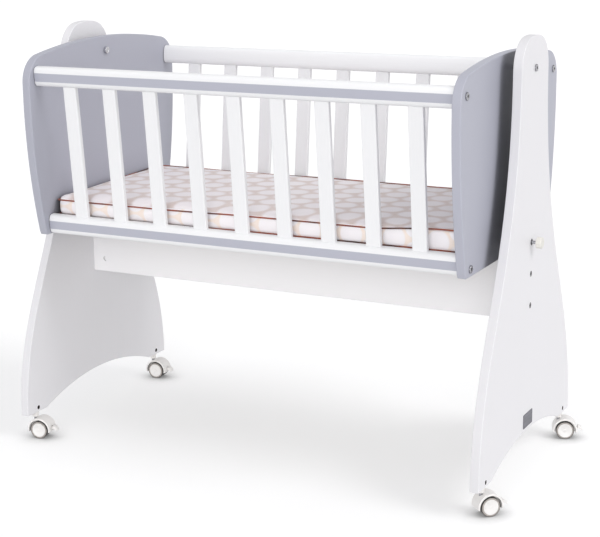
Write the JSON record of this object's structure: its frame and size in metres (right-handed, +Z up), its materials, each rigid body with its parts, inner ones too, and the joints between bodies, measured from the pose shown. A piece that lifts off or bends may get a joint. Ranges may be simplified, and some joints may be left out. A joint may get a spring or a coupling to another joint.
{
  "type": "rocking cradle",
  "caption": "Slatted cradle basket with a mattress, hung by pivot bolts between board uprights so that it swings, with a swing-lock pin and a stretcher, on braked swivel casters.",
  "frame": {"origin": "on the floor, midway between the uprights and under the two pivots", "axes": "+X along the cradle's length towards the end with the swing lock, -Y the front with the striped rails, +Z up"},
  "size_m": [1.0703, 0.547, 0.8655],
  "materials": {
    "hardboard": "plain pale hardboard, hidden under the mattress",
    "white_plastic": "off-white moulded plastic",
    "steel": "zinc-plated steel",
    "grey_wheel": "grey tread with a white disc on each outer face",
    "grey_paint": "pale blue-grey lacquered board, satin",
    "cream_plastic": "cream plastic, ribbed grip",
    "cotton": "pale cotton with a fine printed lattice and darker piping",
    "white_paint": "white painted wood, satin",
    "white_board": "white lacquered board, satin"
  },
  "bodies": {
    "stand": {"caster_left_back_stem": "steel", "caster_left_front_stem": "steel", "caster_right_back_stem": "steel", "caster_right_front_stem": "steel", "pivot_bolt_left": "steel", "pivot_bolt_right": "steel", "stretcher": "white_board", "stretcher_bolt_left_lower": "steel", "stretcher_bolt_left_upper": "steel", "stretcher_bolt_right_lower": "steel", "stretcher_bolt_right_upper": "steel", "upright_left": "white_board", "upright_right": "white_board"},
    "basket": {"base_board": "hardboard", "end_panel_left": "grey_paint", "end_panel_right": "grey_paint", "mattress": "cotton", "rail_back_bottom": "white_paint", "rail_back_top": "white_paint", "rail_bolt_left_back_bottom": "steel", "rail_bolt_left_back_top": "steel", "rail_bolt_left_front_bottom": "steel", "rail_bolt_left_front_top": "steel", "rail_bolt_right_back_bottom": "steel", "rail_bolt_right_back_top": "steel", "rail_bolt_right_front_bottom": "steel", "rail_bolt_right_front_top": "steel", "rail_front_bottom": "white_paint", "rail_front_top": "white_paint", "slat_back_1": "white_paint", "slat_back_2": "white_paint", "slat_back_3": "white_paint", "slat_back_4": "white_paint", "slat_back_5": "white_paint", "slat_back_6": "white_paint", "slat_back_7": "white_paint", "slat_back_8": "white_paint", "slat_back_9": "white_paint", "slat_front_1": "white_paint", "slat_front_2": "white_paint", "slat_front_3": "white_paint", "slat_front_4": "white_paint", "slat_front_5": "white_paint", "slat_front_6": "white_paint", "slat_front_7": "white_paint", "slat_front_8": "white_paint", "slat_front_9": "white_paint"},
    "lock_pin": {"lock_pin": "cream_plastic"},
    "caster_left_front_hood": {"caster_left_front_hood": "white_plastic"},
    "caster_left_front_wheels": {"caster_left_front_wheels": "grey_wheel"},
    "caster_left_front_brake": {"caster_left_front_brake": "white_plastic"},
    "caster_left_back_hood": {"caster_left_back_hood": "white_plastic"},
    "caster_left_back_wheels": {"caster_left_back_wheels": "grey_wheel"},
    "caster_left_back_brake": {"caster_left_back_brake": "white_plastic"},
    "caster_right_front_hood": {"caster_right_front_hood": "white_plastic"},
    "caster_right_front_wheels": {"caster_right_front_wheels": "grey_wheel"},
    "caster_right_front_brake": {"caster_right_front_brake": "white_plastic"},
    "caster_right_back_hood": {"caster_right_back_hood": "white_plastic"},
    "caster_right_back_wheels": {"caster_right_back_wheels": "grey_wheel"},
    "caster_right_back_brake": {"caster_right_back_brake": "white_plastic"}
  },
  "joints": [
    {"name": "cradle_swing", "type": "hinge", "parent": "stand", "child": "basket", "pos_m": [0, 0, 0.8045], "axis": [1, 0, 0], "range_deg": [-10, 10]},
    {"name": "lock_pull", "type": "slide", "parent": "stand", "child": "lock_pin", "axis": [1, 0, 0], "range_m": [0, 0.025]},
    {"name": "caster_left_front_swivel", "type": "hinge", "parent": "stand", "child": "caster_left_front_hood", "pos_m": [-0.503, -0.235, 0], "axis": [0, 0, 1], "continuous": true},
    {"name": "caster_left_front_roll", "type": "hinge", "parent": "caster_left_front_hood", "child": "caster_left_front_wheels", "pos_m": [-0.48951, -0.23262, 0.01884], "axis": [-0.1736, 0.9848, 0], "continuous": true},
    {"name": "caster_left_front_brake_press", "type": "hinge", "parent": "caster_left_front_hood", "child": "caster_left_front_brake", "pos_m": [-0.47108, -0.22937, 0.02214], "axis": [-0.1736, 0.9848, 0], "range_deg": [0, 18]},
    {"name": "caster_left_back_swivel", "type": "hinge", "parent": "stand", "child": "caster_left_back_hood", "pos_m": [-0.503, 0.235, 0], "axis": [0, 0, 1], "continuous": true},
    {"name": "caster_left_back_roll", "type": "hinge", "parent": "caster_left_back_hood", "child": "caster_left_back_wheels", "pos_m": [-0.48933, 0.23596, 0.01884], "axis": [-0.0698, 0.9976, 0], "continuous": true},
    {"name": "caster_left_back_brake_press", "type": "hinge", "parent": "caster_left_back_hood", "child": "caster_left_back_brake", "pos_m": [-0.47067, 0.23726, 0.02214], "axis": [-0.0698, 0.9976, 0], "range_deg": [0, 18]},
    {"name": "caster_right_front_swivel", "type": "hinge", "parent": "stand", "child": "caster_right_front_hood", "pos_m": [0.503, -0.235, 0], "axis": [0, 0, 1], "continuous": true},
    {"name": "caster_right_front_roll", "type": "hinge", "parent": "caster_right_front_hood", "child": "caster_right_front_wheels", "pos_m": [0.51285, -0.22548, 0.01884], "axis": [-0.6947, 0.7193, 0], "continuous": true},
    {"name": "caster_right_front_brake_press", "type": "hinge", "parent": "caster_right_front_hood", "child": "caster_right_front_brake", "pos_m": [0.52631, -0.21249, 0.02214], "axis": [-0.6947, 0.7193, 0], "range_deg": [0, 18]},
    {"name": "caster_right_back_swivel", "type": "hinge", "parent": "stand", "child": "caster_right_back_hood", "pos_m": [0.503, 0.235, 0], "axis": [0, 0, 1], "continuous": true},
    {"name": "caster_right_back_roll", "type": "hinge", "parent": "caster_right_back_hood", "child": "caster_right_back_wheels", "pos_m": [0.5157, 0.24013, 0.01884], "axis": [-0.3746, 0.9272, 0], "continuous": true},
    {"name": "caster_right_back_brake_press", "type": "hinge", "parent": "caster_right_back_hood", "child": "caster_right_back_brake", "pos_m": [0.53305, 0.24714, 0.02214], "axis": [-0.3746, 0.9272, 0], "range_deg": [0, 18]}
  ]
}
